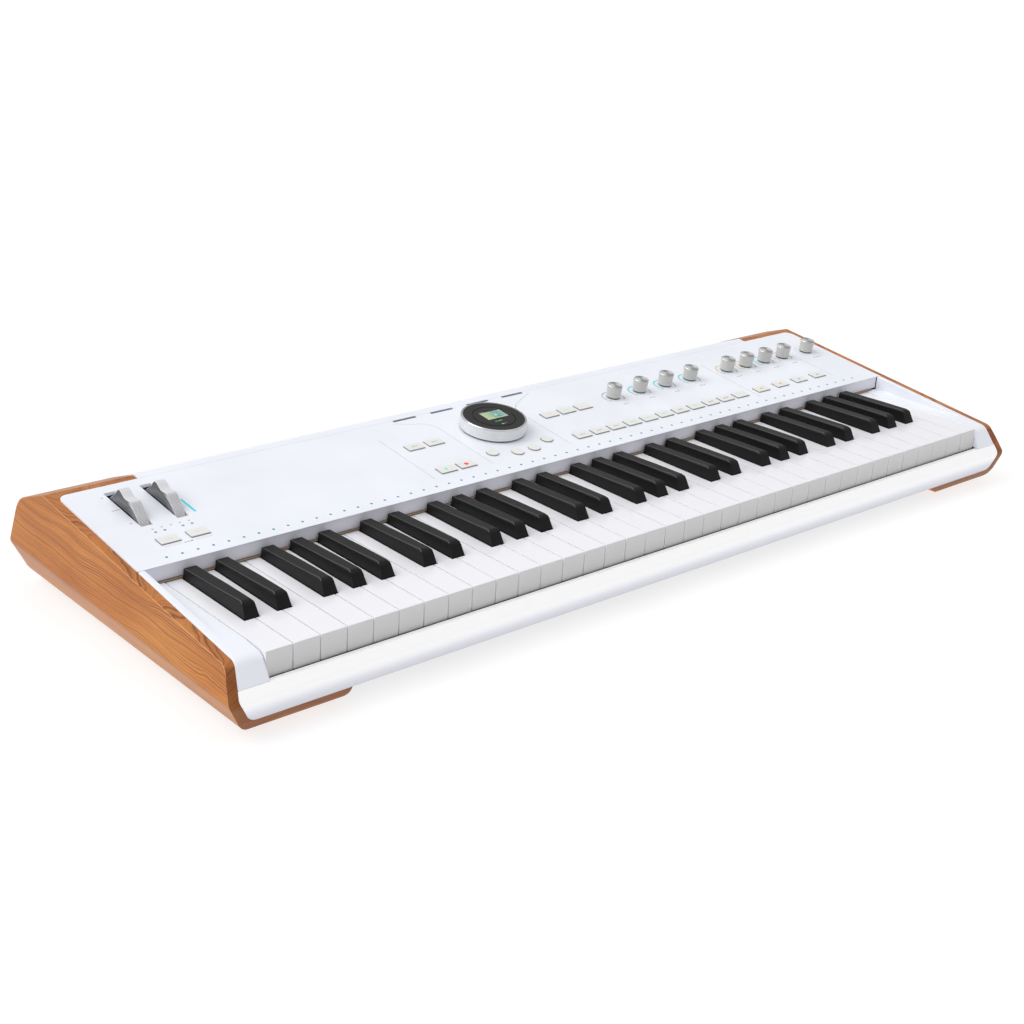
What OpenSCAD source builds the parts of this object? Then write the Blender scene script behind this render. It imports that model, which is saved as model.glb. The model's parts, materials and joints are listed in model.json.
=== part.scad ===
// Sixty-one key stage synthesizer with wrap-round wooden ends.
// Units are millimetres. The player sits on the -Y side, +Z is up, Z = 0 is the table.
// X = 0 is the middle of the keyboard, Y = 0 is the middle of the body's depth.

/* [Keyboard] */
// Width taken by one white key
key_pitch = 23.5; // [23:0.1:23.8]
// Gap between two white keys
key_gap = 1.0; // [0.8:0.1:1.2]
// Height of the white key tops above the table
key_top = 60; // [59:0.5:61]
// Visible height of a white key's front
key_front_h = 20.5; // [18:0.5:21]
// Distance from the key fronts to the pivot rod
key_lever = 165; // [162:1:166]
// Width of a black key at its foot
black_w = 12.6; // [12:0.1:12.8]
// Width of a black key along its top
black_top_w = 9.4; // [8.5:0.1:10]

/* [Body] */
// Overall depth, front bulge to rear wall
body_depth = 328; // [327:1:330]
// Thickness of the wooden ends
wood_t = 8; // [7:0.5:8.5]
// Underside of the wooden ends above the table
wood_low = 6.5; // [6:0.5:7]
// Slope of the control panel in degrees
panel_tilt = 6.73; // [6.5:0.05:7]
// Height of the panel's front edge above the table
panel_front_z = 74; // [73.5:0.25:75]
// Sheet thickness of the plastic mouldings
shell_t = 3; // [2.5:0.25:3]

/* [Controls] */
// Width of a rectangular button
button_w = 17.3; // [16:0.1:17.5]
// Depth of a rectangular button
button_d = 10.4; // [9.8:0.1:11]
// Height of the buttons above the panel
button_h = 1.2; // [1:0.1:1.5]
// Diameter of the round buttons
round_d = 11.4; // [10:0.1:12]
// Diameter of a knob across its top
knob_d = 15.4; // [14.5:0.1:15.6]
// Height of a knob
knob_h = 13.4; // [12:0.2:14]
// Outside diameter of the jog ring
jog_d = 62.6; // [61:0.1:63]
// Height of the jog ring above the panel
jog_h = 12.8; // [11:0.1:13]
// Radius of the pitch and modulation wheels
wheel_r = 37.8; // [37:0.2:38]
// Thickness of the two wheels
wheel_w = 9; // [8:0.5:9]

/* [Output] */
// Which piece to draw

/* [Hidden] */
$fn = 48;
white_count = 36;
octaves = 5;
keys_w = white_count * key_pitch;
left_key_x = -keys_w / 2;
front_y = -body_depth / 2;
rear_y = body_depth / 2;
key_y = front_y + 12.5;
pivot_y = key_y + key_lever;
pivot_z = key_top - 7;
pivot_r = 1.5;
running = 0.05;
fit_gap = 0.15;
panel_y = key_y + 139;
seam_y = panel_y + 130.8;
lip_y = seam_y + 8.2;
panel_slope = tan(panel_tilt);
wood_drop = 0.8;
splay = 1.243;
waist_r = 7;
waist_turn = 43;
floor_z = wood_low + 9;
plate_t = 2;
plate_top = floor_z + plate_t;
strip_x = keys_w / 2 - 52;
leg_x = keys_w / 2 - 68.5;
cheek_wall_x = left_key_x - 15.5;

white_h = 14;
key_wall = 1.6;
notch_y = 49;
black_y = 49.8;
cap_end = 136.4;
tail_end = 172;
notch_half = black_w / 2 + 0.7;
rib_relief = 1.2;
contact_y = 80;
contact_z = key_top - 22.5;
stop_z = key_top - 23;
black_share = [0.9, 2.1, 3.857, 5, 6.143];
black_on_left = [-1, 0, 1, -1, 2, 3, 4];
black_on_right = [0, 1, -1, 2, 3, 4, -1];

board_h = -13;
board_t = 1.6;
button_gap = 0.3;
knob_stem_r = 3;
wheel_x = [19.8, 51.9];
wheel_y = key_y + 228.5;
wheel_depth = 22;
wheel_bore_r = 2.5;
jog_x = 388.9;
jog_y = 217.4;
core_r = 20;
light_y = 148.2;
light_r = 1.15;
light_ring_r = 12;
light_from = -50;
light_sweep = 272;

sockets_z = 40;
socket_shelf = sockets_z - 9;
jack_x = [-330, -292, -254, -216, -178, -140, -102];
din_x = [-52, -14];
usb_x = 28;
inlet_x = 68;
power_x = 104;
screw_x = [-300, -150, 0, 150, 300];
front_screw_y = front_y + 19;
rear_screw_y = rear_y - 15;
screw_r = 1.5;
foot_x = keys_w / 2 - 19;
foot_y = [-124, 128];

wood_colour = [0.72, 0.42, 0.22];
white = [0.93, 0.94, 0.97];
key_white = [0.95, 0.95, 0.95];
key_black = [0.07, 0.07, 0.07];
grey = [0.62, 0.61, 0.65];
steel = [0.68, 0.69, 0.71];
dark = [0.10, 0.10, 0.11];
board_green = [0.08, 0.30, 0.18];
cap_white = [0.90, 0.89, 0.85];
knob_grey = [0.74, 0.73, 0.70];
teal = [0.15, 0.60, 0.66];

// Height of the panel surface at depth y
function panel_z(y) = panel_front_z + panel_slope * (y - panel_y);

// Points of an arc, for rounding the corner of an outline
function arc(cx, cy, r, from, to, steps) =
    [for (i = [0 : steps]) let(t = from + (to - from) * i / steps)
        [cx + r * cos(t), cy + r * sin(t)]];

// Where a white key of an octave is cut away for its black neighbours
function cut_left(step) = black_on_left[step] < 0 ? key_gap / 2
    : black_share[black_on_left[step]] * key_pitch + notch_half - step * key_pitch;
function cut_right(step) = black_on_right[step] < 0 ? key_pitch - key_gap / 2
    : black_share[black_on_right[step]] * key_pitch - notch_half - step * key_pitch;

// Knobs from left to right; the volume knob stands alone at the end
function knob_x(i) = i < 4 ? 548.2 + 36.2 * i : i < 8 ? 713 + 29.3 * (i - 4) : 840;

// Places its children on the sloping panel, x from the first key and y from the key fronts
module on_panel(x, y) {
    translate([left_key_x + x, key_y + y, panel_z(key_y + y)])
        rotate([panel_tilt, 0, 0])
            children();
}

// Extrudes a (Y, Z) outline along X
module across(x0, x1) {
    translate([x0, 0, 0])
        rotate([90, 0, 90])
            linear_extrude(height = x1 - x0)
                children();
}

// Extrudes an (X, Z) outline along the whole depth and beyond
module along_depth() {
    translate([0, rear_y + 40, 0])
        rotate([90, 0, 0])
            linear_extrude(height = body_depth + 80)
                children();
}

// Upright cylinder along Y, from y0 to y1
module along_y(x, z, r, y0, y1) {
    translate([x, y1, z])
        rotate([90, 0, 0])
            cylinder(r = r, h = y1 - y0);
}

// Cylinder along X
module along_x(x0, x1, y, z, r) {
    translate([x0, y, z])
        rotate([0, 90, 0])
            cylinder(r = r, h = x1 - x0);
}

// Block centred in x and y between two heights
module block(w, d, h0, h1) {
    translate([-w / 2, -d / 2, h0])
        cube([w, d, h1 - h0]);
}

module post(r, h0, h1) {
    translate([0, 0, h0])
        cylinder(r = r, h = h1 - h0);
}

// Box given by its two corners
module span(low, high) {
    translate(low)
        cube(high - low);
}

// ---- Case -------------------------------------------------------------------------

// What lies outside the left side. At t = 0 this is the upper side face, which leans out as
// it goes down and splays towards the rear; at t = 1 it is the lower face, drawing in again;
// in between it eases the waist where the two meet.
module side_waste(t, inset) {
    lean = 0.2667 - 0.7967 * t;
    ease = waist_r * (cos(waist_turn * (t - 0.5)) / cos(waist_turn / 2) - 1);
    edge = -472.4 + 29.34 * t + inset + ease;
    rotate([0, 0, splay * (1 - t)])
        along_depth()
            polygon([[-600, 0], [edge, 0], [edge + lean * 120, 120], [-600, 120]]);
}

// Room below the rounded lower corner of the left side
module corner_waste(inset, low, r) {
    edge = -443.06 + inset - 0.53 * low;
    corner = arc(edge + 0.602 * r, low + r, r, 208, 270, 6);
    along_depth()
        polygon(concat(corner, [[edge + 0.602 * r, low - 20], [edge - 40, low - 20],
            [edge - 40, corner[0][1]]]));
}

// Everything outside the body's left side
module left_waste(inset_top, inset_low, low, r) {
    for (t = [0 : 0.25 : 1])
        side_waste(t, inset_top + (inset_low - inset_top) * t);
    corner_waste(inset_low, low, r);
}

module both_sides() {
    children();
    mirror([1, 0, 0])
        children();
}

// Space between the wooden ends, drawn in from them by a gap
module bay(gap) {
    difference() {
        along_depth()
            polygon([[-470, floor_z + gap], [470, floor_z + gap], [470, 110], [-470, 110]]);
        both_sides()
            left_waste(wood_t * 1.035 + gap, wood_t * 1.13 + gap, floor_z + gap, 10);
    }
}

// Front outline from the foot of the bulge to the top edge of the rail
function rail_face() = concat([[front_y + 2.6, floor_z + fit_gap]],
    arc(front_y + 8.2, 29.5, 8.2, 191, 148.5, 6), [[front_y + 5.14, 40.2]]);

// Front outline from the rail up and over the rounded edge
function cheek_face(drop) = concat(arc(front_y + 21.89, 48.92 - drop, 9.72, 148.5, 96.73, 7),
    [[front_y + 22, panel_z(front_y + 22) - drop]]);

// Back outline from the seam over the lip and down to the upright rear wall
function back_face(drop) = [[lip_y - 1, panel_z(lip_y - 1) - drop],
    [lip_y + 0.7, panel_z(lip_y) - drop - 0.4], [rear_y - 5.4, 77.4], [rear_y - 3, 75.6],
    [rear_y - 1.2, 72.8], [rear_y - 0.3, 69.6], [rear_y, 66]];

// Side view of a wooden end
module wood_outline() {
    polygon(concat([[front_y + 9, wood_low], [front_y + 6.4, wood_low + 1],
        [front_y + 4.7, wood_low + 3.4]], rail_face(), cheek_face(wood_drop),
        back_face(wood_drop), [[rear_y, wood_low + 2.5], [rear_y - 2.5, wood_low]]));
}

// Side view of the hollow between the wooden ends, open in front and above
module wood_hollow() {
    polygon([[front_y - 30, floor_z], [rear_y - wood_t, floor_z], [rear_y - wood_t, 64],
        [rear_y - wood_t - 3, 68.5], [seam_y, 82], [seam_y, 130], [front_y - 30, 130]]);
}

// Rounded inside corner where the side rim meets the rear strip
module inside_corner(gap) {
    corner_r = 8;
    rim_x = -443.1;
    difference() {
        across(rim_x - 1.5, rim_x + corner_r)
            polygon([[seam_y - corner_r, 80], [seam_y + 0.5, 80],
                [seam_y + 0.5, panel_z(seam_y + 0.5) - wood_drop],
                [seam_y - corner_r, panel_z(seam_y - corner_r) - wood_drop]]);
        translate([rim_x + corner_r, seam_y - corner_r, 60])
            cylinder(r = corner_r - gap, h = 60);
    }
}

// Waste below the rounded free end of the wooden leg
module leg_waste() {
    end_r = 8.8;
    difference() {
        span([-leg_x - end_r, front_y - 5, wood_low - 1], [-leg_x + 1, rear_y + 5, wood_low + end_r]);
        along_y(-leg_x - end_r, wood_low + end_r, end_r, front_y - 10, rear_y + 10);
    }
}

module wood_end() {
    difference() {
        across(-500, -leg_x)
            wood_outline();
        left_waste(0, 0, wood_low, 16);
        intersection() {
            across(-500, 0)
                wood_hollow();
            bay(0);
        }
        span([-strip_x, front_y - 10, floor_z], [-leg_x + 10, rear_y + 10, 110]);
        leg_waste();
        for (y = [-60, 60])
            translate([-strip_x - 16, y, 0]) {
                post(screw_r + running, 0, 20);
                post(3.4, 0, wood_low + 2.5);
            }
    }
    inside_corner(0);
}

module wood_end_left() {
    color(wood_colour)
        wood_end();
}

module wood_end_right() {
    color(wood_colour)
        mirror([1, 0, 0])
            wood_end();
}

module panel_sheet() {
    difference() {
        intersection() {
            across(-500, 500)
                polygon([[panel_y, panel_z(panel_y) - 0.4], [panel_y, panel_z(panel_y)],
                    [seam_y - fit_gap, panel_z(seam_y)],
                    [seam_y - fit_gap, panel_z(seam_y) - shell_t],
                    [panel_y + 5, panel_z(panel_y + 5) - shell_t]]);
            bay(fit_gap);
        }
        panel_corner_waste();
        mirror([1, 0, 0])
            panel_corner_waste();
    }
}

// What the panel's rear corner gives up to the wooden fillet
module panel_corner_waste() {
    translate([0, 0, 2])
        inside_corner(fit_gap);
    translate([0, 0, -2])
        inside_corner(fit_gap);
}

module top_panel() {
    hole_w = button_w + 2 * button_gap;
    hole_d = button_d + 2 * button_gap;
    color(white)
        difference() {
            panel_sheet();
            button_places()
                block(hole_w, hole_d, -6, 3);
            round_places()
                post(round_d / 2 + button_gap, -6, 3);
            for (i = [0 : 8])
                knob_place(i)
                    post(knob_stem_r + 0.6, -6, 3);
            for (i = [0 : 7])
                knob_place(i)
                    light_arc(0.1, -0.9, 1);
            for (x = wheel_x)
                on_panel(x, 227.9)
                    block(wheel_w + 1.4, 61.4, -8, 3);
            on_panel(jog_x, jog_y)
                post(core_r + 4, -6, 3);
            light_places()
                post(light_r + running, -6, 3);
            status_shapes(0.05, -0.9, 1);
            slot_places()
                block(26.6, 3.2, -1.8, 1);
        }
}

module button_places() {
    octave_down_place()
        children();
    octave_up_place()
        children();
    edit_places()
        children();
    transport_places()
        children();
    bank_places()
        children();
    sound_places()
        children();
    part_places()
        children();
}

module rear_cover() {
    color(white)
        difference() {
            across(-strip_x + fit_gap, strip_x - fit_gap)
                polygon(concat([[seam_y + fit_gap, panel_z(seam_y)]], back_face(0),
                    [[rear_y, floor_z], [rear_y - wood_t, floor_z], [rear_y - wood_t, plate_top],
                    [rear_y - 22, plate_top], [rear_y - 22, plate_top + shell_t],
                    [rear_y - shell_t, plate_top + shell_t], [rear_y - shell_t, 66],
                    [rear_y - shell_t - 3, 74], [lip_y - 0.4, panel_z(lip_y) - 4.2],
                    [seam_y + fit_gap, panel_z(seam_y) - shell_t]]));
            for (x = jack_x)
                rear_hole(x, 6.1);
            for (x = din_x)
                rear_hole(x, 8.2);
            rear_hole(inlet_x, 4.9);
            rear_hole(power_x, 5.3);
            span([usb_x - 6.2, rear_y - shell_t - 1, sockets_z - 5.7],
                [usb_x + 6.2, rear_y + 1, sockets_z + 5.7]);
            for (x = screw_x)
                translate([x, rear_screw_y, 0])
                    post(screw_r + running, 0, 30);
        }
}

module rear_hole(x, r) {
    along_y(x, sockets_z, r, rear_y - shell_t - 1, rear_y + 1);
}

module front_rail() {
    color(white)
        difference() {
            intersection() {
                across(-500, 500)
                    polygon(concat(rail_face(), [[front_y + 11, 39.5], [front_y + 11, 36.8],
                        [front_y + 8, 36.8], [front_y + 3.9, 31.6], [front_y + 3.3, 29.5],
                        [front_y + 3.6, 27.5], [front_y + 4.8, plate_top + 3.2],
                        [front_y + 26, plate_top + 3], [front_y + 26, plate_top],
                        [front_y + 12, plate_top], [front_y + 12, floor_z + fit_gap]]));
                bay(fit_gap);
            }
            for (x = screw_x)
                translate([x, front_screw_y, 0])
                    post(screw_r + running, 0, 30);
        }
}

// Block filling the space between the end key and the wooden side
module cheek() {
    difference() {
        intersection() {
            across(-500, left_key_x - 0.2)
                polygon(concat([[panel_y - fit_gap, 40.35], [front_y + 5.24, 40.35]],
                    cheek_face(0), [[panel_y - fit_gap, panel_z(panel_y - fit_gap)]]));
            bay(fit_gap);
        }
        // flat at key height beside the keys
        span([cheek_wall_x, front_y - 5, key_top + 0.5], [0, 0, key_top + 40]);
        // hollow underside
        span([cheek_wall_x - 5, front_y + 22, 30], [left_key_x - 3, panel_y - 5, key_top - 3.5]);
    }
}

module cheek_left() {
    color(white)
        cheek();
}

module cheek_right() {
    color(white)
        mirror([1, 0, 0])
            cheek();
}

// Upright strip between the panel's edge and the keys
module fallboard() {
    half = -cheek_wall_x - 0.2;
    top = panel_z(panel_y);
    color(grey)
        across(-half, half)
            polygon([[panel_y + 0.2, key_top + 1.7], [panel_y + 0.2, top - 0.55],
                [panel_y + 3, top - 2.1], [panel_y + 3, key_top + 1.7]]);
}

// Strip under the fallboard and the stop strip that the keys come down on
module key_felts() {
    color([0.66, 0.52, 0.38]) {
        span([left_key_x - 7, panel_y - 2.1, key_top + 0.65],
            [-left_key_x + 7, panel_y + 2.8, key_top + 1.65]);
        span([left_key_x + 2, key_y + 20, stop_z - 3], [-left_key_x - 2, key_y + 33, stop_z]);
    }
}

module base_plate() {
    color(dark)
        difference() {
            intersection() {
                span([-435.5, front_y + 12.3, floor_z], [435.5, rear_y - wood_t - 0.3, plate_top]);
                bay(fit_gap / 10);
            }
            for (x = screw_x, y = [front_screw_y, rear_screw_y])
                translate([x, y, 0])
                    post(screw_r + running, 0, 30);
            for (side = [-1, 1], y = [-60, 60])
                translate([side * (strip_x + 16), y, 0])
                    post(screw_r + running, 0, 30);
        }
}

module feet() {
    color(dark)
        for (x = [-foot_x, foot_x], y = foot_y)
            translate([x, y, 0])
                cylinder(r1 = 10.4, r2 = 11.4, h = wood_low);
}

// Pan-head screw pointing up, its head under height z
module screw(z, length) {
    difference() {
        union() {
            post(screw_r, z - 0.5, z + length);
            post(3, z - 2, z);
        }
        block(4, 0.8, z - 3, z - 1.2);
        block(0.8, 4, z - 3, z - 1.2);
    }
}

module case_screws() {
    color(steel) {
        for (x = screw_x, y = [front_screw_y, rear_screw_y])
            translate([x, y, 0])
                screw(floor_z, 7);
        for (side = [-1, 1], y = [-60, 60])
            translate([side * (strip_x + 16), y, 0])
                screw(wood_low + 2.5, 11);
    }
}

// ---- Keyboard ---------------------------------------------------------------------

// Folded sheet carrying the keys: stop rail in front, contact bridge, ribs for the rod
module key_chassis() {
    half = -left_key_x - 0.5;
    sheet = 1.6;
    low = plate_top + 4.5;
    color(steel)
        difference() {
            union() {
                span([-half, key_y + 16, low], [half, key_y + 176, low + sheet]);
                channel(half, key_y + 19, key_y + 34, low, stop_z - 3);
                channel(half, key_y + contact_y - 15, key_y + contact_y + 15, low,
                    contact_z - board_t);
                channel(half, key_y + 20, key_y + 32, plate_top, low + sheet);
                channel(half, key_y + 150, key_y + 166, plate_top, low + sheet);
                for (x = rib_places())
                    span([x - 0.8, pivot_y - 6, low], [x + 0.8, pivot_y + 7, pivot_z + 4]);
            }
            along_x(-half - 5, half + 5, pivot_y, pivot_z, pivot_r + running);
        }
}

// Ribs stand beside both end keys and between each pair of neighbouring white keys
// that have no black key between them
function rib_places() = concat([left_key_x - 0.3, -left_key_x + 0.3],
    [for (octave = [0 : octaves - 1]) left_key_x + (7 * octave + 3) * key_pitch],
    [for (octave = [1 : octaves]) left_key_x + 7 * octave * key_pitch]);

// Upside-down channel between y0 and y1, with its top at z1
module channel(half, y0, y1, z0, z1) {
    sheet = 1.6;
    span([-half, y0, z1 - sheet], [half, y1, z1]);
    span([-half, y0, z0], [half, y0 + sheet, z1]);
    span([-half, y1 - sheet, z0], [half, y1, z1]);
}

module pivot_rod() {
    color(steel)
        along_x(left_key_x - 2, -left_key_x + 2, pivot_y, pivot_z, pivot_r);
}

module contact_board() {
    color(board_green)
        span([left_key_x + 1, key_y + contact_y - 14, contact_z - board_t],
            [-left_key_x - 1, key_y + contact_y + 14, contact_z]);
}

// Rubber domes, one below each key's actuator
module contact_domes() {
    color(dark) {
        for (octave = [0 : octaves - 1], step = [0 : 6])
            dome(left_key_x + (7 * octave + step) * key_pitch + (cut_left(step) + cut_right(step)) / 2);
        for (octave = [0 : octaves - 1], share = black_share)
            dome(left_key_x + (7 * octave + share) * key_pitch);
        dome(-left_key_x - key_pitch / 2);
    }
}

module dome(x) {
    translate([x, key_y + contact_y, contact_z])
        cylinder(r1 = 4, r2 = 2.6, h = 2.8);
}

// One white key with its left edge at x = 0 and its front at y = 0
module white_key(left, right) {
    inner_end = 150;
    roof = key_top - 3;
    low = key_top - white_h;
    difference() {
        union() {
            span([key_gap / 2, 0, low], [key_pitch - key_gap / 2, notch_y, key_top]);
            span([left, notch_y - 1, low], [right, tail_end, key_top]);
            span([key_gap / 2, 0, key_top - key_front_h],
                [key_pitch - key_gap / 2, key_wall, low + 1]);
        }
        span([key_gap / 2 + key_wall, key_wall, low - 1],
            [key_pitch - key_gap / 2 - key_wall, notch_y - key_wall, roof]);
        span([left + key_wall, notch_y - 4, low - 1],
            [right - key_wall, contact_y - 3, roof]);
        span([left + key_wall, contact_y + 3, low - 1], [right - key_wall, inner_end, roof]);
        if (left < 1)
            span([-1, pivot_rel(-9), low - 1], [left + rib_relief, tail_end + 1, key_top + 1]);
        if (right > key_pitch - 1)
            span([right - rib_relief, pivot_rel(-9), low - 1],
                [key_pitch + 1, tail_end + 1, key_top + 1]);
        along_x(-5, key_pitch + 5, key_lever, pivot_z, pivot_r + running);
    }
}

// Distance behind the key fronts, given from the pivot
function pivot_rel(dy) = key_lever + dy;

// One black key with its middle at x = 0 and the white key fronts at y = 0
module black_key() {
    half = black_w / 2;
    low = key_top - white_h;
    roof = key_top - 3;
    difference() {
        union() {
            span([-half, black_y, low], [half, tail_end, key_top - 0.1]);
            black_cap();
        }
        span([-half + key_wall, black_y + key_wall, low - 1],
            [half - key_wall, contact_y - 3, roof]);
        span([-half + key_wall, contact_y + 3, low - 1], [half - key_wall, 150, roof]);
        along_x(-20, 20, key_lever, pivot_z, pivot_r + running);
    }
}

module black_cap() {
    half = black_w / 2;
    top_half = black_top_w / 2;
    crown = 11.8;
    tail_crown = 8.5;
    intersection() {
        across(-half, half)
            polygon(concat([[black_y, key_top - 1], [black_y, key_top + 0.6]],
                arc(black_y + 9.5, key_top + crown - 6.4, 6.4, 150, 92, 5),
                [[cap_end, key_top + tail_crown], [cap_end, key_top - 1]]));
        translate([0, cap_end + 1, 0])
            rotate([90, 0, 0])
                linear_extrude(height = cap_end)
                    polygon([[-half, key_top - 1], [half, key_top - 1], [half, key_top],
                        [top_half + 0.5, key_top + crown - 1.4], [top_half - 0.6, key_top + crown],
                        [-top_half + 0.6, key_top + crown],
                        [-top_half - 0.5, key_top + crown - 1.4], [-half, key_top]]);
    }
}

// All keys of one note name, an octave apart
module white_note(step) {
    color(key_white)
        for (octave = [0 : octaves - 1])
            translate([left_key_x + (7 * octave + step) * key_pitch, key_y, 0])
                white_key(cut_left(step), cut_right(step));
}

module black_note(i) {
    color(key_black)
        for (octave = [0 : octaves - 1])
            translate([left_key_x + (7 * octave + black_share[i]) * key_pitch, key_y, 0])
                black_key();
}

// The top C closes the row, so it is a full-width key at its tail as well
module key_c() {
    white_note(0);
    color(key_white)
        translate([-left_key_x - key_pitch, key_y, 0])
            white_key(key_gap / 2, key_pitch - key_gap / 2);
}

module key_d() { white_note(1); }
module key_e() { white_note(2); }
module key_f() { white_note(3); }
module key_g() { white_note(4); }
module key_a() { white_note(5); }
module key_b() { white_note(6); }
module key_c_sharp() { black_note(0); }
module key_d_sharp() { black_note(1); }
module key_f_sharp() { black_note(2); }
module key_g_sharp() { black_note(3); }
module key_a_sharp() { black_note(4); }

// ---- Control panel ----------------------------------------------------------------

// A row of places on the panel
module row(x, pitch, count, y) {
    for (i = [0 : count - 1])
        on_panel(x + i * pitch, y)
            children();
}

module octave_down_place() {
    on_panel(22.5, 170.3)
        children();
}

module octave_up_place() {
    on_panel(48.7, 170.3)
        children();
}

module transport_places() {
    row(296.5, 22.2, 2, 169.3)
        children();
}

module edit_places() {
    row(297.5, 22.4, 2, 216.9)
        children();
}

module bank_places() {
    row(459.3, 21.87, 3, 216.9)
        children();
}

module sound_places() {
    row(458.4, 21.87, 11, 169.3)
        children();
}

module part_places() {
    row(710.1, 29.6, 4, 169.9)
        children();
}

// Four round buttons on an arc in front of the jog ring
module round_places() {
    middle = jog_x - 0.7;
    for (side = [-1, 1]) {
        on_panel(middle + side * 32.6, 177.1)
            children();
        on_panel(middle + side * 9.8, 168.6)
            children();
    }
}

module knob_place(i) {
    on_panel(knob_x(i), 221.6)
        children();
}

// One light for each semitone of the keyboard
module light_places() {
    row(8.2, 13.71, octaves * 12 + 1, light_y)
        children();
}

module slot_places() {
    row(325.5, 43.5, 4, 268)
        children();
}

// Curved light round a knob, open towards the player
module light_arc(gap, h0, h1) {
    rotate([0, 0, light_from - 3 * gap])
        rotate_extrude(angle = light_sweep + 6 * gap)
            translate([light_ring_r - 1.6 - gap, h0])
                square([1.6 + 2 * gap, h1 - h0]);
}

module button() {
    color(cap_white) {
        block(button_w, button_d, -4, button_h);
        post(2, -8.1, -3.9);
    }
}

module octave_down() {
    octave_down_place()
        button();
}

module octave_up() {
    octave_up_place()
        button();
}

module edit_buttons() {
    edit_places()
        button();
}

module transport_buttons() {
    transport_places()
        button();
}

module bank_buttons() {
    bank_places()
        button();
}

module sound_buttons() {
    sound_places()
        button();
}

module part_buttons() {
    part_places()
        button();
}

module round_buttons() {
    color(cap_white)
        round_places() {
            post(round_d / 2, -4, button_h);
            post(2, -8.1, -3.9);
        }
}

// Knob and the stem that turns in the sleeve below the panel
module knob() {
    color(knob_grey) {
        translate([0, 0, 0.6])
            cylinder(r1 = knob_d / 2 - 0.8, r2 = knob_d / 2, h = knob_h - 0.6);
        post(knob_stem_r, -11, 0.7);
    }
}

module knob_1() { knob_place(0) knob(); }
module knob_2() { knob_place(1) knob(); }
module knob_3() { knob_place(2) knob(); }
module knob_4() { knob_place(3) knob(); }
module knob_5() { knob_place(4) knob(); }
module knob_6() { knob_place(5) knob(); }
module knob_7() { knob_place(6) knob(); }
module knob_8() { knob_place(7) knob(); }
module volume_knob() { knob_place(8) knob(); }

// Ring turning round the fixed core, with a skirt that drops through the panel
module jog_ring() {
    r = jog_d / 2;
    bore = core_r + running;
    color(grey)
        on_panel(jog_x, jog_y)
            rotate_extrude($fn = 96)
                polygon([[bore, -4], [bore + 3.3, -4], [bore + 3.3, 0.5], [r, 0.5], [r, 1.6],
                    [r - 0.3, jog_h - 0.9], [r - 0.9, jog_h - 0.1], [r - 1.6, jog_h],
                    [r - 2.3, jog_h - 0.6], [bore, jog_h - 0.6]]);
}

module dial_core() {
    color(dark)
        on_panel(jog_x, jog_y)
            post(core_r, board_h, jog_h - 1.2);
}

module dial_glass() {
    color([0.03, 0.05, 0.06])
        on_panel(jog_x, jog_y)
            post(core_r - 0.3, jog_h - 1.2, jog_h - 0.5);
}

// Clear strip under the panel with a pip in each hole
module key_lights() {
    color(teal) {
        light_places()
            post(light_r, -4, 0.05);
        on_panel(419.5, light_y)
            block(830, 4, -4.8, -3.3);
    }
}

module knob_light_rings() {
    color(teal)
        for (i = [0 : 7])
            knob_place(i)
                light_arc(0, -0.85, 0.05);
}

// Five round lamps above the octave buttons and the bar beside the wheels
module status_shapes(gap, h0, h1) {
    row(20.2, 8.05, 5, 185.3)
        post(1.2 + gap, h0, h1);
    on_panel(64.8, 212.1)
        block(2.2 + 2 * gap, 22.8 + 2 * gap, h0, h1);
}

module status_lights() {
    color([0.85, 0.95, 0.97])
        status_shapes(0, -0.85, 0.05);
}

module slot_inserts() {
    color(dark)
        slot_places()
            block(26.2, 2.8, -1.75, -0.3);
}

// ---- Wheels -----------------------------------------------------------------------

// Rim radius of a wheel: two finger bumps with a hollow between them
function rim(t) = wheel_r - 5.4 + 5.4 * exp(-pow((t - 82) / 10, 2))
    + 2.6 * exp(-pow((t - 112) / 9, 2));

module finger_wheel(x) {
    steps = 90;
    cx = left_key_x + x;
    zc = panel_z(wheel_y) - wheel_depth;
    color(knob_grey)
        difference() {
            across(cx - wheel_w / 2, cx + wheel_w / 2)
                polygon([for (i = [0 : steps - 1]) let(t = i * 360 / steps)
                    [wheel_y + rim(t) * cos(t), zc + rim(t) * sin(t)]]);
            along_x(cx - 20, cx + 20, wheel_y, zc, wheel_bore_r + running);
        }
}

module pitch_wheel() {
    finger_wheel(wheel_x[0]);
}

module mod_wheel() {
    finger_wheel(wheel_x[1]);
}

// Bracket on the base plate with the axle of both wheels
module wheel_bracket() {
    zc = panel_z(wheel_y) - wheel_depth;
    side = wheel_w / 2 + 3;
    x0 = left_key_x + wheel_x[0] - side;
    x1 = left_key_x + wheel_x[1] + side;
    color(steel) {
        span([x0 - 2, wheel_y - 14, plate_top], [x1 + 2, wheel_y + 14, plate_top + 2]);
        for (x = [x0, x0 + 2 * side, x1 - 2 * side, x1])
            span([x - 0.8, wheel_y - 11, plate_top], [x + 0.8, wheel_y + 11, zc + 8]);
        along_x(x0 - 2, x1 + 2, wheel_y, zc, wheel_bore_r);
    }
}

// ---- Electronics ------------------------------------------------------------------

// Panel boards with switches under the buttons and sleeves under the knobs
module panel_board() {
    color(board_green) {
        board_piece(565, 203, 576, 86);
        board_piece(36, 175.5, 58, 31);
        on_panel(419.5, light_y)
            block(830, 7, -7.6, -6);
    }
    color(dark) {
        button_places()
            tact_switch();
        round_places()
            tact_switch();
        for (i = [0 : 8])
            knob_place(i)
                sleeve();
    }
}

module board_piece(x, y, w, d) {
    on_panel(x, y)
        block(w, d, board_h - board_t, board_h);
}

module tact_switch() {
    block(6, 6, board_h - 0.1, board_h + 3.2);
    post(1.7, board_h, -9.2);
}

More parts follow.
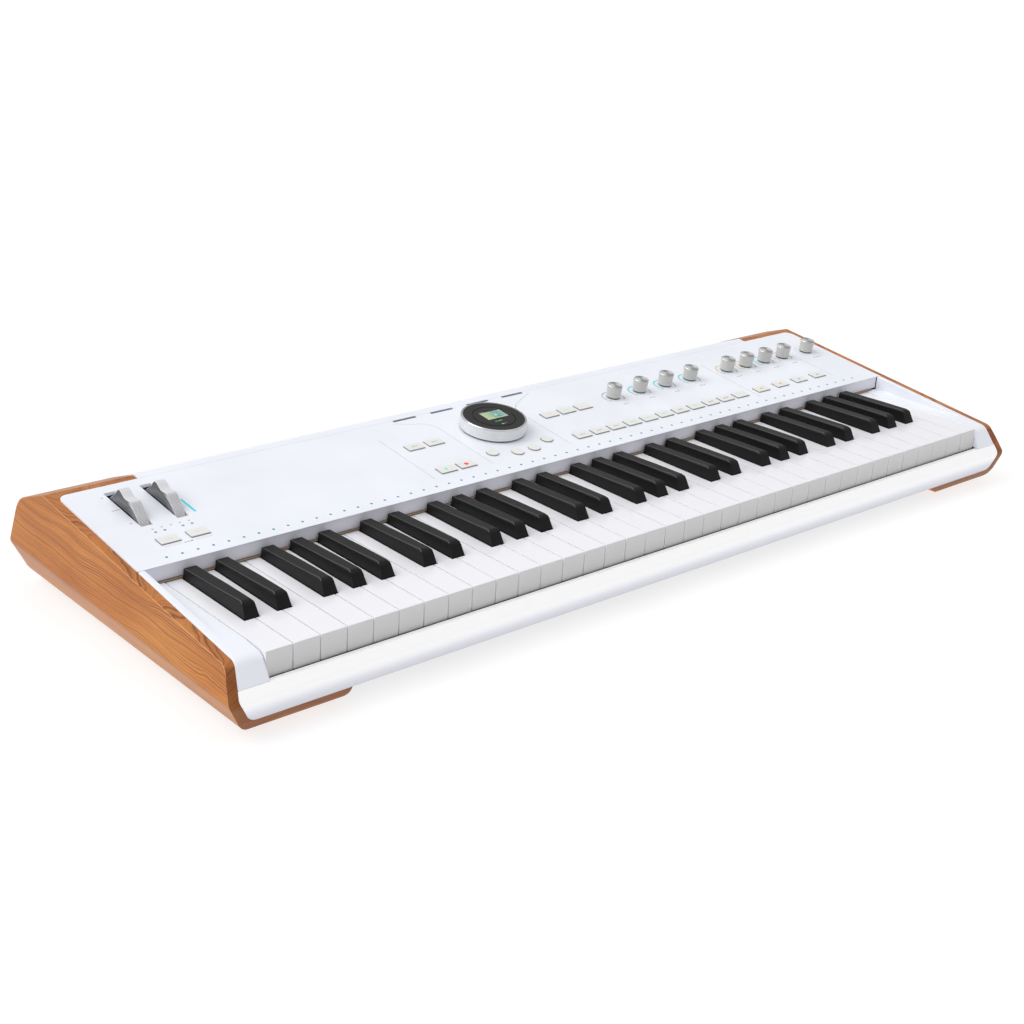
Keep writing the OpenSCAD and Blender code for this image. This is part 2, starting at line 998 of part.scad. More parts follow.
module sleeve() {
    difference() {
        union() {
            block(12, 12, board_h - 0.1, -7);
            post(4.6, -7.5, -3.7);
        }
        post(knob_stem_r + running, -11.8, 0);
    }
}

module main_board() {
    x0 = 150;
    x1 = 340;
    y0 = 50;
    y1 = 134;
    top = plate_top + 8;
    color(board_green)
        span([x0, y0, top - board_t], [x1, y1, top]);
    color(steel)
        for (x = [x0 + 6, x1 - 6], y = [y0 + 6, y1 - 6])
            translate([x, y, 0])
                post(3, plate_top, top - board_t);
    color(dark) {
        span([x0 + 60, y0 + 26, top], [x0 + 88, y0 + 54, top + 2.4]);
        span([x0 + 104, y0 + 30, top], [x0 + 124, y0 + 44, top + 1.8]);
        for (x = [x0 + 22, x0 + 36])
            translate([x, y0 + 30, 0])
                post(5, top, top + 16);
    }
}

// Narrow board behind the rear wall that all the sockets stand on
module socket_board() {
    inner = rear_y - shell_t;
    color(board_green)
        span([jack_x[0] - 12, inner - 32, socket_shelf - board_t],
            [power_x + 12, inner - 1, socket_shelf]);
}

module rear_sockets() {
    inner = rear_y - shell_t;
    color(dark) {
        for (x = jack_x)
            jack(x, inner);
        for (x = din_x)
            din_socket(x, inner);
        usb_socket(inner);
        power_inlet(inner);
        span([power_x - 7, inner - 26, socket_shelf], [power_x + 7, inner - 10, sockets_z + 6]);
    }
}

module jack(x, inner) {
    difference() {
        union() {
            span([x - 8, inner - 28, socket_shelf], [x + 8, inner - 0.5, sockets_z + 7]);
            along_y(x, sockets_z, 6, inner - 1, rear_y - 0.1);
        }
        along_y(x, sockets_z, 3.25, inner - 26, rear_y + 1);
    }
}

// Metal shell round an insulator with five contact holes
module din_socket(x, inner) {
    difference() {
        union() {
            span([x - 10, inner - 18, socket_shelf], [x + 10, inner - 0.5, sockets_z + 10]);
            along_y(x, sockets_z, 8.1, inner - 1, rear_y - 0.1);
        }
        difference() {
            along_y(x, sockets_z, 7.4, inner - 9, rear_y + 1);
            along_y(x, sockets_z, 6.2, inner - 10, rear_y - 0.6);
        }
        for (t = [0 : 45 : 180])
            along_y(x + 4 * cos(t), sockets_z - 4 * sin(t), 0.8, inner - 8, rear_y + 1);
    }
}

module usb_socket(inner) {
    half_w = 4.3;
    half_h = 4;
    difference() {
        union() {
            span([usb_x - 6, inner - 18, socket_shelf], [usb_x + 6, inner - 0.5, sockets_z + 5.5]);
            span([usb_x - 6, inner - 1, sockets_z - 5.5], [usb_x + 6, rear_y - 0.1, sockets_z + 5.5]);
        }
        span([usb_x - half_w, inner - 9, sockets_z - half_h],
            [usb_x + half_w, rear_y + 1, sockets_z + half_h]);
    }
    span([usb_x - 2.8, inner - 10, sockets_z - 1.5], [usb_x + 2.8, rear_y - 2, sockets_z + 1.5]);
}

module power_inlet(inner) {
    difference() {
        union() {
            span([inlet_x - 5.5, inner - 14, socket_shelf], [inlet_x + 5.5, inner - 0.5, sockets_z + 5]);
            along_y(inlet_x, sockets_z, 4.8, inner - 1, rear_y - 0.1);
        }
        along_y(inlet_x, sockets_z, 2.85, inner - 10, rear_y + 1);
    }
    along_y(inlet_x, sockets_z, 1, inner - 11, rear_y - 1.5);
}

// Push button set in the rear wall
module power_button() {
    color(dark)
        along_y(power_x, sockets_z, 5, rear_y - 10.5, rear_y - 0.2);
}

wood_end_left();
wood_end_right();
top_panel();
rear_cover();
front_rail();
cheek_left();
cheek_right();
fallboard();
key_felts();
base_plate();
feet();
case_screws();
key_chassis();
pivot_rod();
contact_board();
contact_domes();
panel_board();
main_board();
socket_board();
rear_sockets();
wheel_bracket();
dial_core();
dial_glass();
key_lights();
knob_light_rings();
status_lights();
slot_inserts();
pitch_wheel();
mod_wheel();
jog_ring();
knob_1();
knob_2();
knob_3();
knob_4();
knob_5();
knob_6();
knob_7();
knob_8();
volume_knob();
octave_down();
octave_up();
edit_buttons();
transport_buttons();
round_buttons();
bank_buttons();
sound_buttons();
part_buttons();
power_button();
key_c();
key_c_sharp();
key_d();
key_d_sharp();
key_e();
key_f();
key_f_sharp();
key_g();
key_g_sharp();
key_a();
key_a_sharp();
key_b();
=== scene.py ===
"""Sixty-one key stage synthesizer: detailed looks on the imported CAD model, in metres."""
import bmesh
import bpy
import json
import math
from mathutils import Matrix, Vector

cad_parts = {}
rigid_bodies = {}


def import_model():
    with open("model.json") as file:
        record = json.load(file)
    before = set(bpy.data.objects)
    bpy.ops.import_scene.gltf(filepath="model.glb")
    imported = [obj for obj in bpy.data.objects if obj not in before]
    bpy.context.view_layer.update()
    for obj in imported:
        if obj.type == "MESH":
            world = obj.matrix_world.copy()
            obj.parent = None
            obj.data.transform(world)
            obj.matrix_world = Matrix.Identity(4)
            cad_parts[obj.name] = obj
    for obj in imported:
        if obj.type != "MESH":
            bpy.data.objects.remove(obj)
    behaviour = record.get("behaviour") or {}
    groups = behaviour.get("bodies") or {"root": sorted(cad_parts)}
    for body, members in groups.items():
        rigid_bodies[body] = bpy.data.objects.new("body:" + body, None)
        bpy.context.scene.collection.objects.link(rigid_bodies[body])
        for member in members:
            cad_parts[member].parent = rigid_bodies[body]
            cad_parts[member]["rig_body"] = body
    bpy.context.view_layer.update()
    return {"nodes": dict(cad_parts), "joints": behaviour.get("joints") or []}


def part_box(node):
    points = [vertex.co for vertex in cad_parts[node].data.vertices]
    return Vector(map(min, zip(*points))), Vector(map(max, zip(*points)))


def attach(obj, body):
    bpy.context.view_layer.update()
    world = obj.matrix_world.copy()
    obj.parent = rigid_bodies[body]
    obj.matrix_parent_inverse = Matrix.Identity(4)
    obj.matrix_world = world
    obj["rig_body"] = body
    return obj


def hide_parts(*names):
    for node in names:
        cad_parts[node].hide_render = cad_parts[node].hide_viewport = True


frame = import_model()
NODES = frame["nodes"]
JOINTS = {j["name"]: j for j in frame["joints"]}
MM = 0.001

# The panel is the plane through the jog dial's pivot, square to its axis.
JOG = Vector(JOINTS["jog_turn"]["pos_m"])
UP = Vector(JOINTS["jog_turn"]["axis"]).normalized()
ALONG = Vector((0, UP.z, -UP.y))
ACROSS = Vector((1, 0, 0))
KEYS_LOW, KEYS_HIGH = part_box("key_c")
KEYS_LEFT = KEYS_LOW.x - 0.5 * MM
KEYS_FRONT = KEYS_LOW.y
KEY_TOP = KEYS_HIGH.z
STRIP_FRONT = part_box("top_panel")[1].y


# ---- Places ---------------------------------------------------------------------------

def panel_point(x, y, lift=0.0):
    """Point of the panel surface above (x, y), raised along the panel's normal."""
    z = JOG.z - UP.y * (y - JOG.y) / UP.z
    return Vector((x, y, z)) + UP * lift


def spot(x, y, lift=0.0):
    """Panel point in millimetres from the first key's left edge and the key fronts."""
    return panel_point(KEYS_LEFT + x * MM, KEYS_FRONT + y * MM, lift * MM)


def panel_frame(point):
    """Matrix whose Z is the panel's normal, standing at a point."""
    turn = Matrix((ACROSS, ALONG, UP)).transposed()
    return Matrix.Translation(point) @ turn.to_4x4()


def foot_of(joint):
    return Vector(JOINTS[joint]["pos_m"])


def welded(node):
    """A bmesh copy of a CAD node with its shared corners joined."""
    bm = bmesh.new()
    bm.from_mesh(NODES[node].data)
    bmesh.ops.remove_doubles(bm, verts=bm.verts, dist=1e-6)
    return bm


def islands(node):
    """The separate solids of a CAD node, each as a list of points, left to right."""
    bm = welded(node)
    found, seen = [], set()
    for start in bm.verts:
        if start in seen:
            continue
        seen.add(start)
        group, queue = [], [start]
        while queue:
            v = queue.pop()
            group.append(v.co.copy())
            for e in v.link_edges:
                other = e.other_vert(v)
                if other not in seen:
                    seen.add(other)
                    queue.append(other)
        found.append(group)
    bm.free()
    return sorted(found, key=lambda g: sum(p.x for p in g) / len(g))


def cap_centres(node):
    """Middle of each solid's topmost face, measured along the panel's normal."""
    centres = []
    for points in islands(node):
        top = max(p.dot(UP) for p in points)
        face = [p for p in points if p.dot(UP) > top - 0.05 * MM]
        low = [min(p[i] for p in face) for i in range(3)]
        high = [max(p[i] for p in face) for i in range(3)]
        centres.append((Vector(low) + Vector(high)) / 2)
    return centres


def octave_lamps():
    """Middles of the five lamps above the octave buttons, left to right."""
    return [c for c in cap_centres("status_lights") if beside_octave_buttons(c)]


def beside_octave_buttons(point):
    """True for the status lights nearer the player than the bar by the wheel."""
    return point.y < JOG.y - 20 * MM


# ---- Materials ------------------------------------------------------------------------

def linear(r, g, b):
    """Linear colour of display values from 0 to 255."""
    def one(c):
        c /= 255
        return c / 12.92 if c <= 0.04045 else ((c + 0.055) / 1.055) ** 2.4
    return (one(r), one(g), one(b), 1.0)


class Surface:
    """A Principled material with short calls for its procedural nodes."""

    def __init__(self, name, **sockets):
        self.material = bpy.data.materials.new(name)
        self.material.use_nodes = True
        self.tree = self.material.node_tree
        self.shader = self.tree.nodes["Principled BSDF"]
        self.place = self.add("TexCoord").outputs["Object"]
        for key, value in sockets.items():
            self.set(key.replace("_", " "), value)

    def set(self, socket, value):
        names = {k.lower(): k for k in self.shader.inputs.keys()}
        self.join(value, self.shader.inputs[names[socket.lower()]])

    def join(self, value, socket):
        if isinstance(value, bpy.types.NodeSocket):
            self.tree.links.new(value, socket)
        else:
            socket.default_value = value

    def add(self, kind, inputs=None, **settings):
        node = self.tree.nodes.new("ShaderNode" + kind)
        for key, value in settings.items():
            setattr(node, key, value)
        for key, value in (inputs or {}).items():
            self.join(value, node.inputs[key])
        return node

    def math(self, operation, a, b=0.0, c=0.0):
        return self.add("Math", {0: a, 1: b, 2: c}, operation=operation).outputs[0]

    def vector(self, operation, a, b=(0, 0, 0)):
        return self.add("VectorMath", {0: a, 1: b}, operation=operation).outputs[0]

    def stretched(self, scale, source=None):
        return self.vector("MULTIPLY", source or self.place, scale)

    def noise(self, scale, detail=3.0, rough=0.5, source=None):
        """Noise from 0 to 1; scale is cells per metre, along all axes or each."""
        along = scale if isinstance(scale, tuple) else (scale,) * 3
        made = self.add("TexNoise", {"Vector": self.stretched(along, source), "Scale": 1.0,
                                     "Detail": detail, "Roughness": rough})
        return made.outputs["Fac"]

    def ramp(self, factor, *stops, ease="LINEAR"):
        made = self.add("ValToRGB", {"Fac": factor})
        made.color_ramp.interpolation = ease
        points = made.color_ramp.elements
        while len(points) < len(stops):
            points.new(0.5)
        for point, (place, value) in zip(points, stops):
            point.position = place
            point.color = value if isinstance(value, tuple) else (value,) * 3 + (1.0,)
        return made.outputs["Color"]

    def blend(self, factor, a, b, mode="MIX"):
        made = self.add("Mix", data_type="RGBA", blend_type=mode)
        colours = [s for s in made.inputs if s.type == "RGBA"]
        self.join(factor, made.inputs["Factor"])
        self.join(a, colours[0])
        self.join(b, colours[1])
        return next(s for s in made.outputs if s.type == "RGBA")

    def span(self, value, low, high, to_low=0.0, to_high=1.0):
        made = self.add("MapRange", {"Value": value, "From Min": low, "From Max": high,
                                     "To Min": to_low, "To Max": to_high})
        return made.outputs["Result"]

    def bump(self, *layers):
        """Layers are (height, depth in metres) pairs, added one over the other."""
        normal = None
        for height, depth in layers:
            made = self.add("Bump", {"Height": height, "Distance": depth, "Strength": 1.0})
            if normal is not None:
                self.join(normal, made.inputs["Normal"])
            normal = made.outputs["Normal"]
        self.set("normal", normal)


def moulded(name, colour, rough, grain=2600, depth=0.012 * MM, drift=0.03, **sockets):
    """Moulded plastic: fine spark grain, slow colour drift and uneven gloss."""
    s = Surface(name, **sockets)
    slow = s.noise(14, 2)
    fine = s.noise(grain, 2)
    shade = s.span(slow, 0.3, 0.7, 1 - drift, 1 + drift)
    even = s.add("CombineXYZ", {0: shade, 1: shade, 2: shade}).outputs[0]
    s.set("base color", s.vector("MULTIPLY", colour[:3], even))
    s.set("roughness", s.span(s.noise(60, 4), 0.3, 0.7, rough * 0.9, rough * 1.1))
    s.bump((fine, depth))
    return s.material


def wood_surface():
    """Oiled timber: grain along Y, cut so its year rings lie nearly level in the sides."""
    s = Surface("oiled_wood", coat_weight=0.12, coat_roughness=0.3, specular_ior_level=0.3)
    parts = s.add("SeparateXYZ", {0: s.place}).outputs
    mirrored = s.math("ABSOLUTE", parts[0])
    here = s.add("CombineXYZ", {0: mirrored, 1: parts[1], 2: parts[2]}).outputs[0]

    def wander(along, across, reach, detail=2.0):
        made = s.add("TexNoise", {"Vector": s.stretched((across, along, across), here),
                                  "Scale": 1.0, "Detail": detail})
        return s.math("MULTIPLY", s.math("SUBTRACT", made.outputs["Fac"], 0.5), reach)

    heart = s.vector("SUBTRACT", s.stretched((1, 0, 1), here), (0.40, 0, -0.16))
    radius = s.add("VectorMath", {0: heart}, operation="LENGTH").outputs["Value"]
    for step in (wander(4.0, 12, 0.032), wander(14, 42, 0.006), wander(60, 150, 0.0013)):
        radius = s.math("ADD", radius, step)
    radius = s.math("SUBTRACT", radius, s.math("MULTIPLY", parts[1], 0.035))

    def rings(pitch, sharpness, seed):
        count = s.math("DIVIDE", radius, pitch * MM)
        drift = s.add("TexNoise", {"W": s.math("MULTIPLY_ADD", count, 0.31, seed), "Scale": 1.0,
                                   "Detail": 3.0}, noise_dimensions="1D").outputs[0]
        count = s.math("ADD", count, s.math("MULTIPLY", drift, 2.6))
        late = s.ramp(s.math("FRACT", count), (0.0, 0.0), (sharpness, 0.12), (0.84, 1.0), (0.90, 0.8),
                      (1.0, 0.0))
        year = s.add("TexWhiteNoise", {"W": s.math("FLOOR", count)}, noise_dimensions="1D").outputs["Value"]
        return s.math("MULTIPLY", late, s.span(year, 0, 1, 0.25, 1.0))

    coarse, fine = rings(1.5, 0.5, 0.0), rings(0.6, 0.3, 7.0)
    strength = s.math("MAXIMUM", coarse, s.math("MULTIPLY", fine, 0.62))
    fibre = s.noise((1500, 30, 1500), 4, 0.6, here)
    pores = s.ramp(s.noise((2600, 110, 2600), 2, 0.5, here), (0.58, 0.0), (0.70, 1.0))
    cloud = s.noise((26, 6, 26), 3, 0.55, here)
    early = s.ramp(cloud,
                   (0.32, linear(192, 116, 50)), (0.5, linear(208, 132, 60)), (0.68, linear(220, 148, 74)))
    colour = s.blend(s.math("MULTIPLY", strength, 0.95), early, linear(100, 46, 18))
    colour = s.blend(s.span(fibre, 0.35, 0.75, 0.0, 0.36), colour, linear(150, 84, 44))
    colour = s.blend(s.math("MULTIPLY", pores, 0.25), colour, linear(110, 62, 38))

    # the strip behind the panel shows short slanting figure
    slanted = s.math("ADD", s.math("SUBTRACT", mirrored, parts[1]), s.math("MULTIPLY", cloud, 0.012))
    figure = s.ramp(s.math("FRACT", s.math("DIVIDE", slanted, 3.4 * MM)),
                    (0.0, 0.0), (0.45, 1.0), (0.6, 0.0))
    strip = s.math("MULTIPLY", s.span(parts[1], STRIP_FRONT, STRIP_FRONT + 1 * MM),
                   s.span(mirrored, 0.436, 0.441, 1.0, 0.0))
    figure = s.math("MULTIPLY", s.math("MULTIPLY", figure, strip), 0.6)
    colour = s.blend(figure, colour, linear(136, 76, 42))

    facing = s.add("SeparateXYZ", {0: s.add("NewGeometry").outputs["Normal"]}).outputs
    end_grain = s.span(facing[1], -0.55, -0.85, 0.0, 0.62)
    colour = s.blend(end_grain, colour, linear(150, 128, 116), "MULTIPLY")
    # painted highlight: the rounded upper and front edge is coloured pale as if it caught the light
    side = s.math("ABSOLUTE", facing[0])
    rim_highlight = s.ramp(side, (0.46, 0.0), (0.56, 1.0), (0.70, 1.0), (0.80, 0.0))
    rim_highlight = s.math("MULTIPLY", rim_highlight, s.span(facing[2], 0.1, 0.35))
    rim_highlight = s.math("MULTIPLY", rim_highlight, s.span(facing[1], 0.1, 0.25, 1.0, 0.0))
    s.set("base color", s.blend(s.math("MULTIPLY", rim_highlight, 0.75), colour, linear(226, 170, 126)))
    s.set("roughness", s.span(strength, 0, 1, 0.44, 0.34))
    s.bump((strength, -0.03 * MM), (fibre, 0.03 * MM), (pores, -0.03 * MM))
    return s.material


def cap_surface():
    """Warm white caps whose upright sides are painted grey as shade."""
    s = Surface("button_cap")
    facing = s.add("NewGeometry").outputs["Normal"]
    tilt = s.add("VectorMath", {0: facing, 1: tuple(UP)}, operation="DOT_PRODUCT").outputs["Value"]
    tone = s.blend(s.noise(45, 3), linear(238, 238, 235), linear(232, 232, 228))
    # painted shade: the upright sides turn grey where the gap round each cap shades them
    s.set("base color", s.blend(s.span(tilt, 0.75, 0.4), tone, linear(168, 167, 164)))
    s.set("roughness", s.span(s.noise(600, 3), 0.3, 0.7, 0.34, 0.42))
    s.bump((s.noise(2400, 2), 0.012 * MM))
    return s.material


def rail_surface():
    """White front rail with painted shade low down, where it curves back under the keys, and a painted glow
    on its upper band.
    """
    s = Surface("rail_white", roughness=0.34, coat_weight=0.15)
    parts = s.add("SeparateXYZ", {0: s.place}).outputs
    low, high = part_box("front_rail")
    height = s.span(parts[2], low.z, high.z)
    # painted shade: the rail darkens towards its bottom
    tone = s.ramp(height, (0.0, linear(214, 215, 224)), (0.4, linear(242, 243, 249)),
                  (0.62, linear(255, 255, 255)), (1.0, linear(255, 255, 255)))
    s.set("base color", s.blend(s.math("MULTIPLY", s.noise(70, 3), 0.03), tone, linear(180, 180, 186)))
    # painted light: the upper band glows faintly through its emission
    s.set("emission color", tone)
    s.set("emission strength", s.span(height, 0.2, 0.55, 0.03, 0.13))
    s.bump((s.noise(2600, 2), 0.012 * MM))
    return s.material


def key_white_surface():
    """Glossy white plastic, slightly uneven."""
    s = Surface("key_white", coat_weight=0.35, coat_roughness=0.08)
    tone = s.blend(s.noise(35, 2), linear(249, 249, 252), linear(245, 245, 249))
    s.set("base color", tone)
    s.set("roughness", s.span(s.noise(900, 3), 0.3, 0.7, 0.2, 0.27))
    s.bump((s.noise(700, 2), 0.006 * MM))
    return s.material


def key_front_surface():
    """The moulded front lip is duller than the tops; its warmer grey is painted shade, darker still low
    down as a painted reflection of the rail.
    """
    s = Surface("key_front", roughness=0.35)
    parts = s.add("SeparateXYZ", {0: s.place}).outputs
    # painted shade and reflection: the lip darkens towards its bottom
    fade = s.span(parts[2], KEY_TOP - 20 * MM, KEY_TOP)
    tone = s.ramp(fade, (0.0, linear(196, 195, 195)), (0.12, linear(207, 206, 206)),
                  (1.0, linear(216, 215, 216)))
    s.set("base color", s.blend(s.math("MULTIPLY", s.noise(90, 3), 0.06), tone, linear(150, 148, 146)))
    s.bump((s.noise(1800, 2), 0.01 * MM))
    return s.material


def key_black_surface():
    """Satin black, with painted shade on the fronts and a painted highlight along the upper edges."""
    s = Surface("key_black", specular_ior_level=0.26)
    tone = s.blend(s.noise(50, 3), linear(12, 12, 12), linear(18, 17, 16))
    facing = s.add("SeparateXYZ", {0: s.add("NewGeometry").outputs["Normal"]}).outputs
    # painted highlight along the upper edges
    edge_highlight = s.math("MULTIPLY", s.ramp(s.math("ABSOLUTE", facing[0]), (0.25, 0.0), (0.45, 1.0), (0.8, 0.0)),
                  s.span(facing[2], 0.45, 0.7))
    # painted shade: faces turned to the player are darker
    tone = s.blend(s.span(facing[1], -0.2, -0.45), tone, linear(7, 7, 7))
    s.set("base color", s.blend(s.math("MULTIPLY", edge_highlight, 0.7), tone, linear(120, 120, 122)))
    s.set("roughness", s.span(s.noise(800, 3), 0.3, 0.7, 0.40, 0.50))
    s.bump((s.noise(2200, 2), 0.02 * MM))
    return s.material


def brushed(name, colour, across, rough=0.3, metallic=1.0, **sockets):
    """Brushed metal; across gives cells per metre on each axis, low along the strokes."""
    s = Surface(name, metallic=metallic, **sockets)
    strokes = s.noise(across, 3, 0.7)
    dim = tuple(c * 0.82 for c in colour[:3]) + (1.0,)
    s.set("base color", s.blend(strokes, colour, dim))
    s.set("roughness", s.span(strokes, 0.3, 0.7, rough * 0.75, rough * 1.25))
    s.bump((strokes, 0.01 * MM))
    return s.material


def turned_metal():
    """Fine concentric tool marks, with the bow-tie sheen of a turned disc painted into the colour as a
    painted highlight.
    """
    s = Surface("turned_metal", metallic=1.0, anisotropic=0.75)
    parts = s.add("SeparateXYZ", {0: s.place}).outputs
    flat = s.add("CombineXYZ", {0: parts[0], 1: parts[1]}).outputs[0]
    radius = s.add("VectorMath", {0: flat}, operation="LENGTH").outputs["Value"]
    grooves = s.math("SINE", s.math("MULTIPLY", radius, 2 * math.pi / (0.28 * MM)))
    angle = s.math("ARCTAN2", parts[1], parts[0])
    # painted highlight: two bright lobes across the disc, fixed in the base colour
    bow = s.math("COSINE", s.math("ADD", s.math("MULTIPLY", angle, 2.0), 0.4))
    bow = s.span(bow, -0.9, 0.9)
    bow = s.math("MULTIPLY", bow, s.span(radius, 0.2 * MM, 1.5 * MM))
    scratch = s.noise((400, 400, 400), 3)
    s.set("base color", s.blend(bow, linear(172, 171, 169), linear(252, 252, 251)))
    s.set("roughness", s.span(scratch, 0.3, 0.7, 0.24, 0.34))
    s.bump((grooves, 0.006 * MM))
    s.set("tangent", s.add("Tangent", direction_type="RADIAL", axis="Z").outputs[0])
    return s.material


def felt_surface():
    """Woven tan strip with a dark line along each edge."""
    s = Surface("felt", roughness=0.95, sheen_weight=0.4, sheen_roughness=0.5)
    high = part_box("key_felts")[1]
    parts = s.add("SeparateXYZ", {0: s.place}).outputs
    height = s.span(parts[2], high.z - 1.0 * MM, high.z)
    fuzz = s.noise(2600, 4, 0.7)
    lines = s.ramp(height, (0.0, linear(62, 46, 36)), (0.22, linear(74, 56, 42)),
                   (0.34, linear(196, 164, 128)), (0.8, linear(204, 172, 134)),
                   (0.95, linear(120, 96, 74)))
    s.set("base color", s.blend(s.span(fuzz, 0.3, 0.7, 0.0, 0.35), lines, linear(110, 84, 62)))
    s.bump((fuzz, 0.15 * MM))
    return s.material


def powder_coat():
    s = Surface("powder_coat", roughness=0.55)
    pebbles = s.noise(1400, 3, 0.6)
    s.set("base color", s.blend(pebbles, linear(26, 26, 28), linear(40, 40, 43)))
    s.set("roughness", s.span(pebbles, 0.3, 0.7, 0.42, 0.62))
    s.bump((pebbles, 0.06 * MM))
    return s.material


def rubber_surface():
    s = Surface("rubber", specular_ior_level=0.3)
    dust = s.noise(420, 4, 0.6)
    s.set("base color", s.blend(dust, linear(30, 30, 31), linear(48, 47, 46)))
    s.set("roughness", s.span(dust, 0.3, 0.7, 0.7, 0.9))
    s.bump((s.noise(1800, 3), 0.04 * MM))
    return s.material


def circuit_board():
    """Green solder mask with faint tracks and tinned pads."""
    s = Surface("circuit_board", roughness=0.35, coat_weight=0.3)
    tracks = s.add("TexBrick", {"Vector": s.stretched((260, 260, 1)), "Scale": 1.0,
                                "Color1": linear(18, 92, 56), "Color2": linear(14, 80, 48),
                                "Mortar": linear(40, 130, 84), "Mortar Size": 0.04,
                                "Brick Width": 2.3, "Row Height": 0.7})
    dots = s.add("TexVoronoi", {"Vector": s.stretched((300, 300, 1)), "Scale": 1.0,
                                "Randomness": 0.3}).outputs["Distance"]
    pads = s.ramp(dots, (0.10, 1.0), (0.13, 0.0))
    s.set("base color", s.blend(pads, tracks.outputs["Color"], linear(190, 188, 176)))
    s.set("metallic", s.math("MULTIPLY", pads, 0.8))
    s.bump((tracks.outputs["Fac"], 0.03 * MM))
    return s.material


def glowing(name, colour, glow, rough=0.25):
    """Clear lens over a light: brighter in its middle grain, glossy on top."""
    s = Surface(name, roughness=rough, coat_weight=0.4)
    cells = s.noise(1500, 2)
    dim = tuple(c * 0.8 for c in colour[:3]) + (1.0,)
    s.set("base color", s.blend(cells, colour, dim))
    s.set("emission color", s.blend(cells, colour, dim))
    s.set("emission strength", glow)
    s.bump((s.noise(900, 2), 0.01 * MM))
    return s.material


def ink(name, colour):
    """Screen print: slightly raised and uneven."""
    s = Surface(name, roughness=0.5)
    specks = s.noise(3000, 3)
    light = tuple(min(1.0, c * 1.25) for c in colour[:3]) + (1.0,)
    s.set("base color", s.blend(specks, colour, light))
    s.bump((specks, 0.005 * MM))
    return s.material


def dark_glass():
    s = Surface("dark_glass", specular_ior_level=0.22)
    smudge = s.noise(120, 4, 0.6)
    s.set("base color", s.blend(smudge, linear(7, 7, 8), linear(11, 10, 12)))
    s.set("roughness", s.span(smudge, 0.3, 0.7, 0.10, 0.2))
    s.bump((smudge, 0.004 * MM))
    return s.material


def screen_surface():
    """Backlit picture: green to teal across, a paler foot, and a soft darker shape."""
    s = Surface("screen", roughness=0.15, coat_weight=0.3)
    parts = s.add("SeparateXYZ", {0: s.place}).outputs
    across = s.span(parts[0], -10 * MM, 13 * MM)
    back = s.ramp(across, (0.0, linear(178, 192, 142)), (0.3, linear(150, 182, 144)),
                  (0.6, linear(108, 162, 156)), (1.0, linear(142, 186, 166)))
    blocks = s.add("TexVoronoi", {"Vector": s.stretched((330, 420, 1)), "Scale": 1.0}).outputs["Distance"]
    shape = s.math("MULTIPLY", s.ramp(blocks, (0.25, 1.0), (0.6, 0.0)),
                   s.ramp(across, (0.2, 0.0), (0.45, 1.0), (0.75, 0.6), (0.95, 0.0)))
    picture = s.blend(s.math("MULTIPLY", shape, 0.75), back, linear(40, 92, 96))
    foot = s.span(parts[1], -7.0 * MM, -5.2 * MM, 1.0, 0.0)
    picture = s.blend(foot, picture, linear(212, 214, 160))
    s.set("base color", picture)
    s.set("emission color", picture)
    s.set("emission strength", 0.12)
    return s.material


def wheel_place(s):
    """Distance from the axle and turn from the rear for the wheel materials."""
    parts = s.add("SeparateXYZ", {0: s.place}).outputs
    axle = foot_of("pitch_turn")
    y = s.math("SUBTRACT", parts[1], axle.y)
    z = s.math("SUBTRACT", parts[2], axle.z)
    flat = s.add("CombineXYZ", {0: y, 1: z}).outputs[0]
    radius = s.add("VectorMath", {0: flat}, operation="LENGTH").outputs["Value"]
    return parts[0], s.math("ARCTAN2", z, y), radius


def wheel_tread():
    """Satin grip plastic with coarse slanting ridges on the half nearer the player."""
    s = Surface("wheel_tread", roughness=0.4)
    x, turn, _ = wheel_place(s)
    slant = s.math("SUBTRACT", x, s.math("MULTIPLY", turn, 14 * MM))
    ridge = s.math("SINE", s.math("MULTIPLY", slant, 2 * math.pi / (2.2 * MM)))
    ridge = s.span(ridge, -0.5, 0.8)
    mask = s.math("MULTIPLY", s.span(turn, math.radians(110), math.radians(114)),
                  s.span(turn, math.radians(168), math.radians(162)))
    ridge = s.math("MULTIPLY", ridge, mask)
    tone = s.blend(s.noise(40, 2), linear(226, 226, 229), linear(218, 218, 222))
    tone = s.blend(s.math("MULTIPLY", mask, 0.8), tone, linear(192, 191, 194))
    # painted highlight: the ridge crests are coloured lighter
    s.set("base color", s.blend(s.math("MULTIPLY", ridge, 0.6), tone, linear(236, 235, 238)))
    s.bump((ridge, 0.4 * MM), (s.noise(2200, 2), 0.01 * MM))
    return s.material


def wheel_side():
    """Polished dark web with a painted reflection paling it towards the player, and a thin bright rim band.
    """
    s = Surface("wheel_side", roughness=0.14, coat_weight=0.4, coat_roughness=0.05)
    _, turn, radius = wheel_place(s)
    rim = s.math("MULTIPLY", s.span(radius, 31.4 * MM, 31.8 * MM),
                 s.span(turn, math.radians(104), math.radians(116)))
    # painted reflection: the web pales from near black at the rear to grey at the front
    front = s.span(turn, math.radians(98), math.radians(165))
    web = s.ramp(front, (0.0, linear(5, 5, 6)), (0.3, linear(12, 12, 13)), (0.62, linear(96, 96, 100)),
                 (1.0, linear(120, 120, 124)))
    marks = s.ramp(s.math("ABSOLUTE", s.math("SUBTRACT", radius, 29 * MM)), (0.0, 1.0), (0.0006, 0.0))
    web = s.blend(s.math("MULTIPLY", marks, 0.25), web, linear(150, 150, 156))
    s.set("base color", s.blend(rim, web, linear(196, 196, 200)))
    s.bump((s.noise(500, 2), 0.004 * MM))
    return s.material


# ---- Mesh making ----------------------------------------------------------------------

